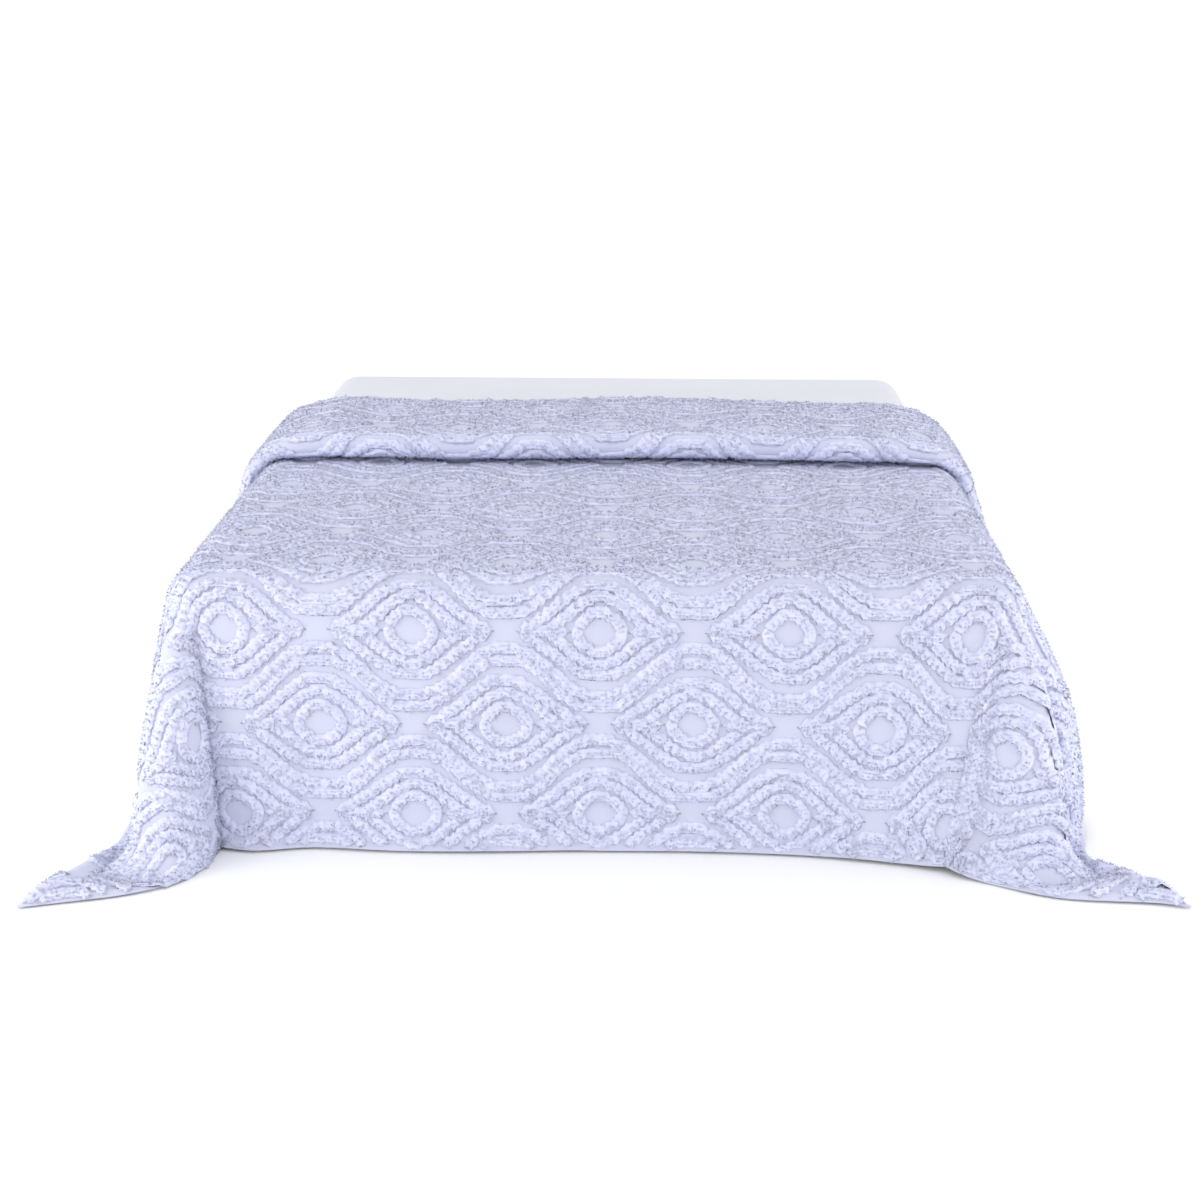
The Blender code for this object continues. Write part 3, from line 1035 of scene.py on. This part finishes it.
def rounded_block(name, low, high, radius, segments):
    """A padded block between two corners, with rounded edges, as a new mesh."""
    form = bmesh.new()
    bmesh.ops.create_cube(form, size=1)
    size = [b - a for a, b in zip(low, high)]
    middle = [(a + b) / 2 for a, b in zip(low, high)]
    bmesh.ops.scale(form, vec=size, verts=form.verts)
    bmesh.ops.translate(form, vec=middle, verts=form.verts)
    bmesh.ops.bevel(
        form,
        geom=form.edges[:],
        offset=radius,
        segments=segments,
        profile=0.5,
        affect="EDGES",
        material=-1,
    )
    for axis, strips in enumerate(BLOCK_STRIPS):
        for cut in range(1, strips):
            place = low[axis] + radius + (size[axis] - 2 * radius) * cut / strips
            normal = [0, 0, 0]
            normal[axis] = 1
            bmesh.ops.bisect_plane(
                form,
                geom=form.verts[:] + form.edges[:] + form.faces[:],
                plane_co=[place if i == axis else middle[i] for i in range(3)],
                plane_no=normal,
            )
    mesh = bpy.data.meshes.new(name)
    form.to_mesh(mesh)
    form.free()
    return mesh


def woven_cover(name, colour, pitch, fleck):
    """Plain woven cloth on a padded block, from its Object coordinates."""
    finish = Finish(name)
    place = finish.node("ShaderNodeTexCoord", output=3)
    split = finish.tree.nodes.new("ShaderNodeSeparateXYZ")
    finish.feed(split.inputs[0], place)
    turn = 2 * math.pi / pitch

    def wave(axis, push=0.0):
        value = Tone(finish, split.outputs[axis]) * turn + push
        return finish.node("ShaderNodeMath", {"operation": "SINE"}, {0: value})

    weave = wave(0) * wave(1) + wave(2) * wave(0, 0.7) * 0.5 + wave(1, 0.7) * wave(2) * 0.5
    cloud = finish.node("ShaderNodeTexNoise", values={"Vector": place, "Scale": 5.0, "Detail": 3.0})
    grain = finish.node(
        "ShaderNodeTexNoise", values={"Vector": place, "Scale": 420.0, "Detail": 2.0}
    )
    tone = finish.mix(cloud, rgba(colour, 0.95), rgba(colour, 1.03))
    finish.set(
        Base_Color=finish.mix(grain * fleck, tone, rgba(colour, 0.55)),
        Roughness=0.9,
        Specular_IOR_Level=0.25,
        Normal=finish.bump(weave * 0.15 + grain, FIBRE_RELIEF, 0.6),
    )
    finish.shader.inputs["Sheen Weight"].default_value = 0.1
    return finish.material


class BEDSPREAD_OT_mattress(Operator):
    """Adds the plain mattress"""

    bl_idname = "bedspread.mattress"
    bl_label = "Add mattress"

    def execute(self, context):
        bed = context.scene.bedspread_bed
        low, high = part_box("mattress")
        cover = woven_cover("mattress_cotton", bed.sheet_colour, 0.0022, 0.15)
        mesh = rounded_block("mattress_cover", low, high, MATTRESS_EDGE_RADIUS, 6)
        made = finish_piece(bpy.data.objects.new("mattress_cover", mesh), cover)
        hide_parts("mattress")
        return {"FINISHED"}


class BEDSPREAD_OT_base(Operator):
    """Adds the plain cloth-covered bed base"""

    bl_idname = "bedspread.base"
    bl_label = "Add bed base"

    def execute(self, context):
        bed = context.scene.bedspread_bed
        low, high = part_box("bed_base")
        cover = woven_cover("base_cloth", bed.base_colour, 0.0030, 0.35)
        mesh = rounded_block("base_cover", low, high, BASE_EDGE_RADIUS, 4)
        made = finish_piece(bpy.data.objects.new("base_cover", mesh), cover)
        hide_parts("bed_base")
        return {"FINISHED"}


CAMERA_PLACE = (0.1185, -4.097, 1.590)
CAMERA_TILT = 19.05
CAMERA_TURN = 1.9
CAMERA_LENS = 53.49
CAMERA_SENSOR = 36.0
FLOOR_HALF = 30
# Each light's place and what it points at, and the size of both
LEFT_LIGHT = ((-3.4, -2.4, 0.9), (-0.6, -0.5, 0.25))
RIGHT_LIGHT = ((3.4, -1.7, 0.9), (0.6, -0.5, 0.25))
LIGHT_SIZE = (1.6, 1.2)


def add_area(name, place, aim, power):
    light = bpy.data.lights.new(name, "AREA")
    light.shape = "RECTANGLE"
    light.size, light.size_y = LIGHT_SIZE
    light.energy = power
    made = bpy.data.objects.new(name, light)
    made.location = place
    made.rotation_euler = (Vector(aim) - Vector(place)).to_track_quat("-Z", "Y").to_euler()
    bpy.context.scene.collection.objects.link(made)


class BEDSPREAD_OT_stage(Operator):
    """Adds the pale floor, the soft lights and the camera"""

    bl_idname = "bedspread.stage"
    bl_label = "Add stage"

    def execute(self, context):
        stage = context.scene.bedspread_stage
        form = bmesh.new()
        bmesh.ops.create_grid(form, x_segments=1, y_segments=1, size=FLOOR_HALF)
        mesh = bpy.data.meshes.new("floor")
        form.to_mesh(mesh)
        form.free()
        floor = bpy.data.objects.new("floor", mesh)
        pale = Finish("pale_floor")
        pale.set(Base_Color=(0.96, 0.96, 0.965, 1), Roughness=0.9)
        floor.data.materials.append(pale.material)
        bpy.context.scene.collection.objects.link(floor)
        world = bpy.data.worlds.new("soft_room")
        world.use_nodes = True
        sky = world.node_tree.nodes["Background"]
        sky.inputs["Color"].default_value = (1, 1, 1, 1)
        sky.inputs["Strength"].default_value = stage.sky
        context.scene.world = world
        context.scene.view_settings.view_transform = "Standard"
        add_area("left_light", *LEFT_LIGHT, stage.key)
        add_area("right_light", *RIGHT_LIGHT, stage.fill)
        lens = bpy.data.cameras.new("camera")
        lens.lens = CAMERA_LENS
        lens.sensor_width = CAMERA_SENSOR
        camera = bpy.data.objects.new("camera", lens)
        camera.location = CAMERA_PLACE
        camera.rotation_euler = (
            math.radians(90 - CAMERA_TILT),
            0,
            math.radians(CAMERA_TURN),
        )
        context.scene.collection.objects.link(camera)
        context.scene.camera = camera
        return {"FINISHED"}


class BEDSPREAD_PT_panel(Panel):
    bl_label = "Bedspread"
    bl_idname = "BEDSPREAD_PT_panel"
    bl_space_type = "VIEW_3D"
    bl_region_type = "UI"
    bl_category = "Bedspread"

    def draw(self, context):
        for each in OPERATORS:
            self.layout.operator(each.bl_idname)
        for name, _ in GROUPS:
            group = getattr(context.scene, name)
            for setting in group.bl_rna.properties:
                if setting.identifier not in ("rna_type", "name"):
                    self.layout.prop(group, setting.identifier)


OPERATORS = (
    BEDSPREAD_OT_stage,
    BEDSPREAD_OT_base,
    BEDSPREAD_OT_mattress,
    BEDSPREAD_OT_cloth,
    BEDSPREAD_OT_tufts,
)
GROUPS = (
    ("bedspread_cloth", BedspreadCloth),
    ("bedspread_tufts", BedspreadTufts),
    ("bedspread_bed", BedspreadBed),
    ("bedspread_stage", BedspreadStage),
)


def register():
    for name, group in GROUPS:
        bpy.utils.register_class(group)
        setattr(bpy.types.Scene, name, PointerProperty(type=group))
    for each in (*OPERATORS, BEDSPREAD_PT_panel):
        bpy.utils.register_class(each)


def unregister():
    for each in (BEDSPREAD_PT_panel, *reversed(OPERATORS)):
        bpy.utils.unregister_class(each)
    for name, group in reversed(GROUPS):
        delattr(bpy.types.Scene, name)
        bpy.utils.unregister_class(group)


def main():
    register()
    bpy.ops.bedspread.stage()
    bpy.ops.bedspread.base()
    bpy.ops.bedspread.mattress()
    bpy.ops.bedspread.cloth()
    bpy.ops.bedspread.tufts()


if __name__ == "__main__":
    main()
